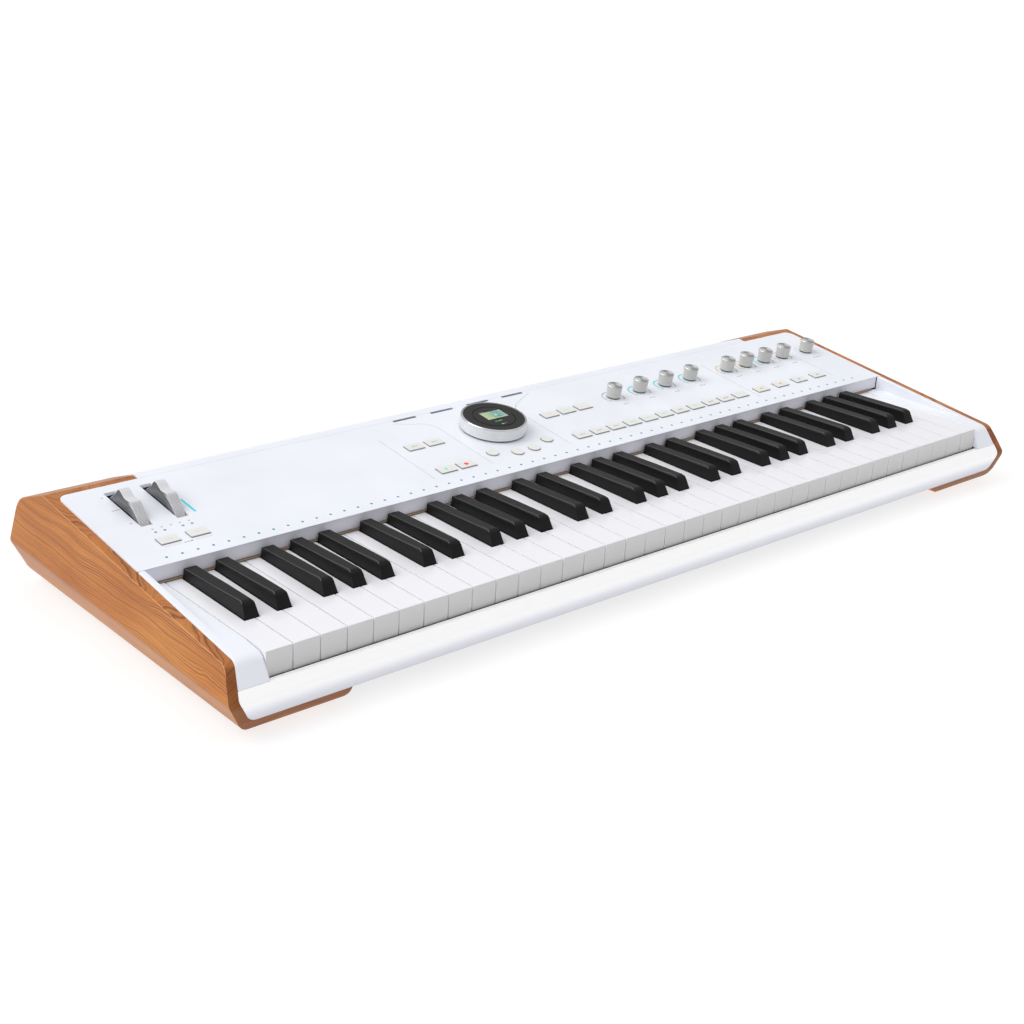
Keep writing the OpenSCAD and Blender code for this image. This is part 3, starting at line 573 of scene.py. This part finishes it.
def make_object(name, mesh, body, matrix=None, replaces=()):
    obj = bpy.data.objects.new(name, mesh)
    bpy.context.scene.collection.objects.link(obj)
    if matrix is not None:
        obj.matrix_world = matrix
    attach(obj, body)
    if replaces:
        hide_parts(*replaces)
    return obj


def body_of(node):
    return NODES[node]["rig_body"]


def even_shading(obj):
    obj.modifiers.new("even_shading", "WEIGHTED_NORMAL").keep_sharp = True


def sharp_edges(bm, angle, test=None):
    return [e for e in bm.edges if len(e.link_faces) == 2
            and e.calc_face_angle(0.0) > math.radians(angle) and (test is None or test(e))]


def bevel(bm, edges, width, segments, clamp=True):
    bmesh.ops.bevel(bm, geom=edges, offset=width, offset_type="OFFSET", segments=segments,
                    profile=0.5, affect="EDGES", clamp_overlap=clamp)


def soften(node, width, materials, angle=32, segments=2, first=(), pick=None, piece=None):
    """A copy of a CAD node with its sharp edges rounded; first rounds chosen edges wider."""
    bm = welded(node)
    bmesh.ops.dissolve_limit(bm, angle_limit=math.radians(0.4), verts=bm.verts, edges=bm.edges)
    for test, wide, steps in first:
        bevel(bm, sharp_edges(bm, 18, test), wide, steps, clamp=False)
    if width:
        bevel(bm, sharp_edges(bm, angle), width, segments)
    for f in bm.faces:
        f.smooth = True
        f.material_index = pick(f) if pick else 0
    mesh = bpy.data.meshes.new(node + "_soft")
    bm.to_mesh(mesh)
    bm.free()
    mesh.set_sharp_from_angle(angle=math.radians(38))
    for m in materials:
        mesh.materials.append(m)
    obj = make_object(piece or node + "_skin", mesh, body_of(node), replaces=(node,))
    even_shading(obj)
    return obj


def lathe(name, profile, steps, materials, body, matrix, replaces=()):
    """Turns a (radius, height, material) profile in millimetres about local Z."""
    verts, faces, index = [], [], []
    for r, h, _ in profile:
        for i in range(steps):
            t = 2 * math.pi * i / steps
            verts.append((r * MM * math.cos(t), r * MM * math.sin(t), h * MM))
    for ring in range(len(profile) - 1):
        for i in range(steps):
            j = (i + 1) % steps
            a, b = ring * steps, (ring + 1) * steps
            faces.append((a + i, a + j, b + j, b + i))
            index.append(profile[ring + 1][2])
    mesh = bpy.data.meshes.new(name)
    mesh.from_pydata(verts, [], faces)
    bm = bmesh.new()
    bm.from_mesh(mesh)
    for f, m in zip(bm.faces, index):
        f.smooth, f.material_index = True, m
    bmesh.ops.remove_doubles(bm, verts=bm.verts, dist=1e-7)
    bmesh.ops.recalc_face_normals(bm, faces=bm.faces)
    bm.to_mesh(mesh)
    bm.free()
    mesh.set_sharp_from_angle(angle=math.radians(34))
    for m in materials:
        mesh.materials.append(m)
    obj = make_object(name, mesh, body, matrix, replaces)
    even_shading(obj)
    return obj


class Print:
    """Thin flat shapes collected into one piece, each with its own ink."""

    def __init__(self, inks):
        self.inks, self.verts, self.faces, self.index = inks, [], [], []

    def polygon(self, points, which):
        start = len(self.verts)
        self.verts += [tuple(p) for p in points]
        self.faces.append(tuple(range(start, start + len(points))))
        self.index.append(which)

    def bar(self, a, b, width, which):
        """Straight stroke between two panel points."""
        run = (b - a).normalized()
        side = UP.cross(run) * width * MM / 2
        self.polygon([a - side, b - side, b + side, a + side], which)

    def line(self, points, width, which):
        for a, b in zip(points, points[1:]):
            self.bar(a, b, width, which)

    def disc(self, centre, radius, which, squash=1.0, steps=20):
        ring = [2 * math.pi * i / steps for i in range(steps)]
        self.polygon([centre + (ACROSS * math.cos(t) + ALONG * math.sin(t) * squash) * radius * MM
                      for t in ring], which)

    def word(self, centre, width, height, which, strokes=5):
        """Row of short strokes standing in for a caption."""
        step = width / strokes
        for i in range(strokes):
            x = centre + ACROSS * ((i + 0.5) * step - width / 2) * MM
            tall = height * (1.0, 0.7, 0.85, 0.6, 0.95)[i % 5]
            self.bar(x - ALONG * tall / 2 * MM, x + ALONG * tall / 2 * MM, step * 0.5, which)
            if i % 2 == 0:
                self.bar(x, x + ACROSS * step * 0.6 * MM, height * 0.22, which)

    def finish(self, name, body):
        mesh = bpy.data.meshes.new(name)
        mesh.from_pydata(self.verts, [], self.faces)
        for f, which in zip(mesh.polygons, self.index):
            f.material_index = which
        for m in self.inks:
            mesh.materials.append(m)
        return make_object(name, mesh, body)


# ---- Case -----------------------------------------------------------------------------

def make_wood_ends(wood):
    def back_corner(e):
        normals = [f.normal for f in e.link_faces]
        return (all(abs(v.co.x) > 0.44 and v.co.y > 0.1 for v in e.verts)
                and max(n.y for n in normals) > 0.3 and max(abs(n.x) for n in normals) > 0.8
                and all(abs(n.z) < 0.85 for n in normals)
                and any(n.y > 0.3 and abs(n.x) < 0.3 for n in normals))

    def rim(e):
        normals = [f.normal for f in e.link_faces]
        return (max(abs(n.x) for n in normals) > 0.8 and min(abs(n.x) for n in normals) < 0.2
                and max(n.z for n in normals) > 0.55 and all(abs(v.co.x) > 0.449 for v in e.verts))

    for node in ("wood_end_left", "wood_end_right"):
        soften(node, 0.5 * MM, [wood], angle=30, segments=2,
               first=[(back_corner, 2.6 * MM, 4), (rim, 0.9 * MM, 3)])


def make_shells(shell, rail):
    soften("top_panel", 0.25 * MM, [shell], angle=50, segments=2)
    soften("rear_cover", 0.5 * MM, [shell], angle=40, segments=2)
    soften("front_rail", 0.8 * MM, [rail], angle=45, segments=3)
    for node in ("cheek_left", "cheek_right"):
        soften(node, 0.8 * MM, [shell], angle=45, segments=3)


def paint(node, material):
    for slot in NODES[node].material_slots:
        slot.material = material


# ---- Keys -----------------------------------------------------------------------------

def make_keys(white, front, black):
    lip = KEYS_FRONT + 0.3 * MM

    def brow(e):
        return all(v.co.y < lip and v.co.z > KEY_TOP - 0.2 * MM for v in e.verts)

    def corners(e):
        return all(v.co.y < lip for v in e.verts) and abs(e.verts[0].co.z - e.verts[1].co.z) > 3 * MM

    def ridge(e):
        heights = sorted(f.normal.z for f in e.link_faces)
        return heights[1] > 0.85 and heights[0] < 0.75

    # front faces take the second material, whose grey is painted shade
    def white_or_front(f):
        return 1 if f.normal.y < -0.75 and f.calc_center_median().y < lip + 0.8 * MM else 0

    for node in NODES:
        if node.startswith("key_") and node.endswith("_sharp"):
            soften(node, 0.3 * MM, [black], angle=30, segments=2, first=[(ridge, 0.6 * MM, 3)])
        elif node.startswith("key_") and len(node) == 5:
            soften(node, 0.3 * MM, [white, front], angle=40, segments=2,
                   first=[(brow, 1.1 * MM, 4), (corners, 0.6 * MM, 3)], pick=white_or_front)


# ---- Controls -------------------------------------------------------------------------

def make_knob(node, joint, materials):
    # the foot ring under the body takes the dark material, painted shade at the knob's base
    profile = [(0, 0.8, 2), (6.0, 0.8, 2), (6.1, 0.65, 2), (6.5, 0.65, 2), (6.6, 0.9, 2), (6.6, 1.35, 2),
               (6.85, 1.4, 0), (6.95, 1.6, 0), (7.0, 2.0, 0), (7.3, 7.2, 0), (7.58, 12.3, 0),
               (7.58, 12.6, 0), (7.52, 12.85, 1), (7.4, 13.05, 1), (7.2, 13.2, 1), (6.98, 13.26, 1),
               (6.85, 13.2, 1), (6.72, 13.2, 1), (6.5, 13.24, 1), (3.0, 13.3, 1), (0, 13.32, 1)]
    lathe(node + "_turned", profile, 72, materials, body_of(node), panel_frame(foot_of(joint)),
          (node,))


def make_knobs(side, top, dark):
    for i in range(1, 9):
        make_knob(f"knob_{i}", f"knob_{i}_turn", [side, top, dark])
    make_knob("volume_knob", "volume_turn", [side, top, dark])


def make_jog(side, polish, face, dark):
    # the hub and the skirt under the ring take the dark material: partly a real dark base, partly painted
    # shadow in the gap under the ring
    profile = [(20.1, -3.9, 3), (23.2, -3.9, 3), (23.3, 0.55, 3), (29.8, 0.55, 3), (29.9, 1.5, 3),
               (30.9, 1.55, 0), (31.2, 1.9, 0), (31.28, 2.4, 0), (31.26, 6.0, 0), (31.15, 9.5, 0),
               (31.02, 11.6, 0), (30.95, 11.95, 1), (30.75, 12.3, 1), (30.45, 12.56, 1), (30.1, 12.7, 1),
               (29.75, 12.66, 1), (29.5, 12.45, 2), (29.3, 12.4, 1), (29.0, 12.4, 1), (28.9, 12.3, 2),
               (28.6, 12.22, 2), (24.0, 12.18, 2), (20.5, 12.16, 2), (20.3, 11.9, 2), (20.1, 11.6, 2),
               (20.1, -3.9, 3)]
    lathe("jog_ring_turned", profile, 144, [side, polish, face, dark], "jog_ring",
          panel_frame(JOG), ("jog_ring",))


def make_dial_face(face, dark, screen, inks):
    profile = [(0, 11.6, 1), (19.5, 11.6, 1), (19.65, 11.75, 0), (19.6, 12.05, 0), (19.3, 12.2, 0),
               (12, 12.22, 0), (0, 12.22, 0)]
    place = panel_frame(JOG)
    lathe("dial_face", profile, 128, [face, dark], "case", place, ("dial_glass",))
    half_w, half_d = 11.8, 7.0
    shift = Vector((2.6, 3.3, 12.24)) * MM
    corners = [(-half_w, -half_d), (half_w, -half_d), (half_w, half_d), (-half_w, half_d)]
    mesh = bpy.data.meshes.new("screen")
    mesh.from_pydata([(x * MM, y * MM, 0) for x, y in corners], [], [(0, 1, 2, 3)])
    mesh.materials.append(screen)
    make_object("screen", mesh, "case", place @ Matrix.Translation(shift))
    marks = Print(inks)
    lift = 12.26 * MM
    base = panel_point(JOG.x, JOG.y, lift)
    marks.word(base + (ACROSS * -1.4 - ALONG * 9.0) * MM, 8.5, 1.3, 0, 8)
    marks.word(base + (ACROSS * -1.4 - ALONG * 15.4) * MM, 3.6, 1.6, 1, 3)
    marks.disc(base + (ACROSS * 2.2 - ALONG * 15.0) * MM, 0.35, 1)
    marks.disc(base + (ACROSS * 4.2 + ALONG * 2.2) * MM, 1.2, 1)
    marks.disc(base + (ACROSS * 6.6 + ALONG * 0.4) * MM, 0.6, 2)
    tab = base + (ACROSS * -6.2 + ALONG * 11.1) * MM
    marks.bar(tab - ACROSS * 3 * MM, tab + ACROSS * 3 * MM, 1.7, 3)
    marks.finish("dial_marks", "case")


def make_wheels(tread, side):
    for node in ("pitch_wheel", "mod_wheel"):
        soften(node, 0.7 * MM, [tread, side], angle=50, segments=3,
               pick=lambda f: 1 if abs(f.normal.x) > 0.9 else 0)


def make_button_caps(cap):
    for node in ("octave_down", "octave_up", "edit_buttons", "transport_buttons", "round_buttons",
                 "bank_buttons", "sound_buttons", "part_buttons"):
        soften(node, 0.35 * MM, [cap], angle=40, segments=3)


def make_button_marks(inks):
    """Printed and lit marks: 0 dark, 1 grey, 2 green, 3 amber, 4 teal, 5 red, 6 faint."""
    rows = {"bank_buttons": (3, 2, None), "sound_buttons": (1, 1, 1, 2, 2, 2, 0, 2, 0, 0, None),
            "part_buttons": (3, 3, 4, 4), "edit_buttons": (1, 1), "octave_down": (6,),
            "octave_up": (6,)}
    for node, tints in rows.items():
        marks = Print(inks)
        for centre, tint in zip(cap_centres(node), tints):
            if tint is None:
                continue
            at = centre + UP * 0.02 * MM
            if node == "part_buttons":
                marks.disc(at, 1.7, tint)
                marks.word(at, 5.0, 1.0, 1, 4)
            else:
                marks.word(at, 6.4, 1.9, tint, 5)
        marks.finish(node + "_marks", body_of(node))
    play, record = cap_centres("transport_buttons")
    marks = Print(inks)
    at = play + UP * 0.02 * MM
    marks.polygon([at + (ACROSS * 2.0) * MM, at + (ACROSS * -1.6 + ALONG * 2.0) * MM,
                   at + (ACROSS * -1.6 - ALONG * 2.0) * MM], 2)
    marks.disc(record + UP * 0.02 * MM, 2.2, 5)
    marks.finish("transport_marks", "transport_buttons")


def make_light_arcs(lit, idle, housing):
    """Light guide round each knob, lit from the back to the left; two are lit part of the way."""
    colours = (None, 0, 0, 0, 1, 1, 0, None)
    verts, faces, index = [], [], []
    begin, end, lit_from, part_way, step = -50, 222, 84, 186, 4
    for k, colour in enumerate(colours):
        place = panel_frame(foot_of(f"knob_{k + 1}_turn"))
        last = part_way if k in (1, 4) else end
        for a in range(begin, end, step):
            on = colour is not None and lit_from <= a < last
            bands = ((10.4, 12.0, 0.0, 3), (10.6, 11.8, 0.04, colour)) if on else (
                (10.4, 12.0, 0.0, 3), (10.9, 11.45, 0.02, 2))
            for r0, r1, h, which in bands:
                ring = [(r0, h), ((r0 + r1) / 2, h + 0.02), (r1, h)]
                start = len(verts)
                for t in (math.radians(a), math.radians(a + step)):
                    verts += [place @ Vector((r * MM * math.cos(t), r * MM * math.sin(t), z * MM))
                              for r, z in ring]
                faces += [(start, start + 1, start + 4, start + 3),
                          (start + 1, start + 2, start + 5, start + 4)]
                index += [which, which]
    mesh = bpy.data.meshes.new("knob_light_guides")
    mesh.from_pydata(verts, [], faces)
    for f, which in zip(mesh.polygons, index):
        f.material_index, f.use_smooth = which, True
    for m in (*lit, idle, housing):
        mesh.materials.append(m)
    make_object("knob_light_guides", mesh, "case", replaces=("knob_light_rings",))


def make_status_lamps(grey, white, cyan):
    """Five small lamps, the middle one lit, and the bar beside the modulation wheel."""
    middle = octave_lamps()[2]

    def which(f):
        c = f.calc_center_median()
        if not beside_octave_buttons(c):
            return 2
        return 1 if abs(c.x - middle.x) < 2 * MM else 0

    soften("status_lights", 0.0, [grey, white, cyan], pick=which)


# ---- Panel printing -------------------------------------------------------------------

def make_panel_print(inks):
    """Hairlines between the sections and generic captions: 0 hairline, 1 caption, 2 faint."""
    p = Print(inks)
    lift = 0.02
    wide = 0.35
    for points in (((276.5, 160), (276.5, 242)),
                   ((342.7, 160), (342.7, 240), (341.8, 243.6), (336.6, 251.7), (323.3, 257.1),
                    (308.4, 264.7)),
                   ((436, 160), (436, 240), (440, 244), (445, 249), (459.7, 257.4), (474.4, 264.6)),
                   ((695.5, 158), (695.5, 242)), ((816, 162), (816, 209))):
        p.line([spot(x, y, lift) for x, y in points], wide, 0)
    for i in range(1, 9):
        at = foot_of(f"knob_{i}_turn") + UP * lift * MM
        p.word(at + (ACROSS * 1.5 - ALONG * 17.5) * MM, 7.5, 1.4, 1, 5)
        p.word(at + (ACROSS * 1.5 - ALONG * 21.0) * MM, 5.0, 0.7, 2, 4)
    volume = foot_of("volume_turn") + UP * lift * MM
    p.word(volume + (ACROSS * 1.0 - ALONG * 16.5) * MM, 13.0, 1.3, 1, 8)
    scale_r, scale_begin, scale_span = 11.5 * MM, -35, 250
    for start in range(scale_begin, scale_begin + scale_span, 8):
        a, b = (volume + (ACROSS * math.cos(t) + ALONG * math.sin(t)) * scale_r
                for t in (math.radians(start), math.radians(start + 5)))
        p.bar(a, b, 0.3, 0)
    for node in ("sound_buttons", "part_buttons", "edit_buttons", "transport_buttons", "bank_buttons"):
        for c in cap_centres(node):
            at = panel_point(c.x, c.y, lift * MM)
            p.word(at + ALONG * 9.5 * MM, 7.0, 0.7, 2, 5)
    for c in octave_lamps():
        p.word(panel_point(c.x, c.y, lift * MM) + (ACROSS * 0.2 + ALONG * 5.2) * MM, 2.0, 1.5, 1, 2)
    octave_bracket(p, lift)
    for y, length, which in ((252, 1.6, 1), (229.4, 7.0, 0), (205.5, 1.6, 1)):
        at = spot(10.0, y, lift)
        p.bar(at - ACROSS * length / 2 * MM, at + ACROSS * length / 2 * MM, 0.8, which)
    p.finish("panel_print", "case")


def octave_bracket(p, lift):
    """Bracket below the two octave buttons with its caption in the middle."""
    foot = ALONG * -8.6 * MM
    ends = [panel_point(c.x, c.y, lift * MM) + foot
            for c in cap_centres("octave_down") + cap_centres("octave_up")]
    middle = (ends[0] + ends[1]) / 2
    for end, out in zip(ends, (-1, 1)):
        corner = end + ACROSS * out * 7.5 * MM
        p.line([corner + ALONG * 1.2 * MM, corner, middle + ACROSS * out * 6 * MM], 0.25, 0)
    p.word(middle, 8.0, 1.5, 1, 6)


# ---- Stage ----------------------------------------------------------------------------

def make_floor():
    size, steps = 14.0, 28
    bm = bmesh.new()
    bmesh.ops.create_grid(bm, x_segments=steps, y_segments=steps, size=size)
    mesh = bpy.data.meshes.new("floor")
    bm.to_mesh(mesh)
    bm.free()
    s = Surface("floor_paper", roughness=0.9, specular_ior_level=0.0)
    tone = s.blend(s.noise(6, 2), (0.27, 0.27, 0.27, 1), (0.28, 0.28, 0.28, 1))
    s.set("base color", tone)
    s.set("emission color", tone)
    s.set("emission strength", 2.8)
    mesh.materials.append(s.material)
    floor = bpy.data.objects.new("floor", mesh)
    bpy.context.scene.collection.objects.link(floor)


def make_world():
    """Soft white dome, brighter overhead than at the horizon."""
    world = bpy.data.worlds.new("studio")
    world.use_nodes = True
    tree = world.node_tree
    back = tree.nodes["Background"]
    place = tree.nodes.new("ShaderNodeTexCoord")
    split = tree.nodes.new("ShaderNodeSeparateXYZ")
    ramp = tree.nodes.new("ShaderNodeValToRGB")
    tree.links.new(place.outputs["Generated"], split.inputs[0])
    tree.links.new(split.outputs[2], ramp.inputs["Fac"])
    tree.links.new(ramp.outputs["Color"], back.inputs["Color"])
    low, high = ramp.color_ramp.elements
    low.position, low.color = 0.0, (0.35, 0.35, 0.355, 1)
    high.position, high.color = 1.0, (0.90, 0.90, 0.91, 1)
    back.inputs["Strength"].default_value = 1.0
    bpy.context.scene.world = world


def make_sun():
    """Wide soft key light from the left and behind."""
    data = bpy.data.lights.new("key_light", "SUN")
    data.energy, data.angle = 1.38, math.radians(50)
    light = bpy.data.objects.new("key_light", data)
    light.rotation_mode = "QUATERNION"
    light.rotation_quaternion = Vector((-0.6, 0.3, 0.74)).to_track_quat("Z", "Y")
    bpy.context.scene.collection.objects.link(light)


def make_camera():
    data = bpy.data.cameras.new("camera")
    data.sensor_width, data.lens = 36.0, 58.68
    data.clip_start, data.clip_end = 0.05, 60
    camera = bpy.data.objects.new("camera", data)
    right = Vector((0.75671, -0.65170, 0.05167)).normalized()
    back = Vector((-0.61754, -0.68663, 0.38365)).normalized()
    above = back.cross(right)
    turn = Matrix((right, above, back)).transposed()
    camera.matrix_world = Matrix.Translation((-0.9901, -1.0307, 0.6051)) @ turn.to_4x4()
    bpy.context.scene.collection.objects.link(camera)
    bpy.context.scene.camera = camera


# ---- Everything -----------------------------------------------------------------------

def build():
    shell = moulded("shell_white", linear(242, 245, 252), 0.34, coat_weight=0.15)
    black_plastic = moulded("black_plastic", linear(26, 26, 28), 0.42)
    knob_side = moulded("knob_side", linear(205, 204, 200), 0.4)
    fallboard = moulded("fallboard_white", linear(240, 240, 250), 0.4)
    slot_tint = moulded("slot_insert", linear(98, 100, 122), 0.35)
    zinc = brushed("zinc_plate", linear(176, 178, 182), (30, 900, 900))
    jog_side = brushed("jog_side", linear(246, 246, 248), (300, 300, 2600), 0.42, 0.6)
    polish = brushed("polished_rim", linear(238, 238, 240), (200, 200, 200), 0.16)
    board = circuit_board()
    rubber = rubber_surface()
    glass = dark_glass()
    cyan = glowing("light_cyan", linear(40, 200, 218), 0.35)
    amber = glowing("light_amber", linear(240, 200, 118), 0.2)
    teal_led = glowing("light_teal", linear(16, 144, 170), 0.3)
    pale_led = glowing("light_white", linear(250, 250, 250), 0.2)
    off_led = moulded("lamp_off", linear(146, 146, 152), 0.3)
    ink_dark, ink_grey = ink("ink_dark", linear(96, 96, 102)), ink("ink_grey", linear(160, 160, 168))
    ink_faint, ink_line = ink("ink_faint", linear(212, 212, 220)), ink("ink_line", linear(150, 152, 162))
    green = glowing("mark_green", linear(60, 222, 150), 0.45)
    red = glowing("mark_red", linear(235, 24, 34), 0.45)
    teal = glowing("mark_teal", linear(110, 216, 214), 0.25)
    amber_mark = glowing("mark_amber", linear(244, 186, 92), 0.25)

    make_wood_ends(wood_surface())
    make_shells(shell, rail_surface())
    make_keys(key_white_surface(), key_front_surface(), key_black_surface())
    soften("fallboard", 0.3 * MM, [fallboard])
    make_knobs(knob_side, turned_metal(), black_plastic)
    make_jog(jog_side, polish, glass, black_plastic)
    make_dial_face(glass, black_plastic, screen_surface(),
                   [green, ink("ink_white", linear(214, 216, 220)), ink("ink_deep", linear(20, 70, 80)),
                    ink("ink_olive", linear(88, 100, 84))])
    make_wheels(wheel_tread(), wheel_side())
    make_button_caps(cap_surface())
    make_button_marks([ink_dark, ink_grey, green, amber_mark, teal, red, ink_faint])
    make_light_arcs([cyan, amber], ink("ink_arc", linear(96, 98, 112)), shell)
    make_status_lamps(off_led, pale_led, cyan)
    make_panel_print([ink_line, ink_dark, ink_faint])
    soften("power_button", 0.5 * MM, [black_plastic])

    paint("key_felts", felt_surface())
    paint("base_plate", powder_coat())
    for node in ("feet", "contact_domes"):
        paint(node, rubber)
    for node in ("case_screws", "key_chassis", "pivot_rod", "wheel_bracket"):
        paint(node, zinc)
    for node in ("contact_board", "panel_board", "main_board", "socket_board"):
        paint(node, board)
    for node in ("rear_sockets", "dial_core"):
        paint(node, black_plastic)
    paint("slot_inserts", slot_tint)
    paint("key_lights", teal_led)

    make_floor()
    make_world()
    make_sun()
    make_camera()
    bpy.context.scene.view_settings.view_transform = "Standard"


build()
